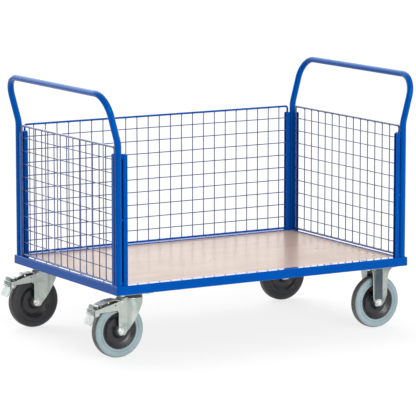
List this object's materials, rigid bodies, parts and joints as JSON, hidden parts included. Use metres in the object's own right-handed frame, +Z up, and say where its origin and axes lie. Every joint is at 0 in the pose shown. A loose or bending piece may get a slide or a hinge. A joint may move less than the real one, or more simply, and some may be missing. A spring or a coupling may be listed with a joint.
{
  "type": "platform trolley",
  "caption": "Four-wheeled platform trolley with mesh walls on three sides, an open front, tubular push bows at both ends and braked swivel castors.",
  "frame": {"origin": "on the floor under the middle of the overall box; the deck's centre is 20 mm towards +X, because the brake pedals reach further out than the right push bow", "axes": "+Z up; X along the deck, with the fixed castors at +X and the swivel castors at -X; the open side of the deck faces -Y"},
  "size_m": [1.3896, 0.81, 0.9745],
  "materials": {
    "blue_paint": "glossy powder coat over welded steel",
    "deck_laminate": "smooth beech-pattern laminate with a satin sheen",
    "zinc_plate": "pressed steel, bright zinc plated",
    "fastener_steel": "zinc-plated fasteners and turned steel",
    "grey_tyre": "blue-grey solid rubber, worn brown on the tread",
    "black_tyre": "black solid rubber",
    "hub_plastic": "black moulded plastic, slightly glossy"
  },
  "bodies": {
    "chassis": {"front_rail": "blue_paint", "back_rail": "blue_paint", "left_rail": "blue_paint", "right_rail": "blue_paint", "cross_members": "blue_paint", "board_ledges": "blue_paint", "castor_mounting_plates": "blue_paint", "plate_bolts": "fastener_steel", "plate_nuts": "fastener_steel", "deck_board": "deck_laminate", "push_bow_left": "blue_paint", "push_bow_right": "blue_paint", "front_left_channels": "blue_paint", "back_left_channels": "blue_paint", "front_right_channels": "blue_paint", "back_right_channels": "blue_paint", "back_wall_rods": "blue_paint", "back_wall_wires": "blue_paint", "left_wall_rods": "blue_paint", "left_wall_wires": "blue_paint", "right_wall_rods": "blue_paint", "right_wall_wires": "blue_paint", "front_left_swivel_plate": "zinc_plate", "back_left_swivel_plate": "zinc_plate", "front_right_fork": "zinc_plate", "back_right_fork": "zinc_plate", "fixed_axle_bolts": "fastener_steel", "fixed_axle_nuts": "fastener_steel", "fixed_axle_sleeves": "fastener_steel"},
    "front_left_castor": {"front_left_fork": "zinc_plate", "front_left_ball_ring": "hub_plastic", "front_left_kingpin": "fastener_steel", "front_left_axle_bolt": "fastener_steel", "front_left_axle_nut": "fastener_steel", "front_left_axle_sleeve": "fastener_steel", "front_left_brake_pins": "fastener_steel"},
    "front_left_wheel": {"front_left_hub": "hub_plastic", "front_left_tyre": "grey_tyre", "front_left_bearings": "fastener_steel"},
    "front_left_pedal": {"front_left_brake_pedal": "zinc_plate"},
    "front_left_leaf": {"front_left_brake_blade": "zinc_plate"},
    "back_left_castor": {"back_left_fork": "zinc_plate", "back_left_ball_ring": "hub_plastic", "back_left_kingpin": "fastener_steel", "back_left_axle_bolt": "fastener_steel", "back_left_axle_nut": "fastener_steel", "back_left_axle_sleeve": "fastener_steel", "back_left_brake_pins": "fastener_steel"},
    "back_left_wheel": {"back_left_hub": "hub_plastic", "back_left_tyre": "black_tyre", "back_left_bearings": "fastener_steel"},
    "back_left_pedal": {"back_left_brake_pedal": "zinc_plate"},
    "back_left_leaf": {"back_left_brake_blade": "zinc_plate"},
    "front_right_wheel": {"front_right_hub": "hub_plastic", "front_right_tyre": "grey_tyre", "front_right_bearings": "fastener_steel"},
    "back_right_wheel": {"back_right_hub": "hub_plastic", "back_right_tyre": "black_tyre", "back_right_bearings": "fastener_steel"}
  },
  "joints": [
    {"name": "front_left_swivel", "type": "hinge", "parent": "chassis", "child": "front_left_castor", "pos_m": [-0.511, -0.333, 0.226], "axis": [0, 0, 1], "continuous": true},
    {"name": "front_left_wheel_spin", "type": "hinge", "parent": "front_left_castor", "child": "front_left_wheel", "pos_m": [-0.5685, -0.333, 0.1], "axis": [0, 1, 0], "continuous": true},
    {"name": "front_left_brake_pedal_tilt", "type": "hinge", "parent": "front_left_castor", "child": "front_left_pedal", "pos_m": [-0.6675, -0.333, 0.168], "axis": [0, -1, 0], "range_deg": [0, 12]},
    {"name": "front_left_brake_leaf_tilt", "type": "hinge", "parent": "front_left_castor", "child": "front_left_leaf", "pos_m": [-0.5645, -0.333, 0.2065], "axis": [0, -1, 0], "range_deg": [0, 12]},
    {"name": "back_left_swivel", "type": "hinge", "parent": "chassis", "child": "back_left_castor", "pos_m": [-0.511, 0.333, 0.226], "axis": [0, 0, 1], "continuous": true},
    {"name": "back_left_wheel_spin", "type": "hinge", "parent": "back_left_castor", "child": "back_left_wheel", "pos_m": [-0.5685, 0.333, 0.1], "axis": [0, 1, 0], "continuous": true},
    {"name": "back_left_brake_pedal_tilt", "type": "hinge", "parent": "back_left_castor", "child": "back_left_pedal", "pos_m": [-0.6675, 0.333, 0.168], "axis": [0, -1, 0], "range_deg": [0, 12]},
    {"name": "back_left_brake_leaf_tilt", "type": "hinge", "parent": "back_left_castor", "child": "back_left_leaf", "pos_m": [-0.5645, 0.333, 0.2065], "axis": [0, -1, 0], "range_deg": [0, 12]},
    {"name": "front_right_wheel_spin", "type": "hinge", "parent": "chassis", "child": "front_right_wheel", "pos_m": [0.5505, -0.333, 0.1], "axis": [0, 1, 0], "continuous": true},
    {"name": "back_right_wheel_spin", "type": "hinge", "parent": "chassis", "child": "back_right_wheel", "pos_m": [0.5505, 0.333, 0.1], "axis": [0, 1, 0], "continuous": true}
  ],
  "couplings": [
    {"joint": "front_left_brake_leaf_tilt", "follows": "front_left_brake_pedal_tilt", "ratio": 1},
    {"joint": "back_left_brake_leaf_tilt", "follows": "back_left_brake_pedal_tilt", "ratio": 1}
  ]
}
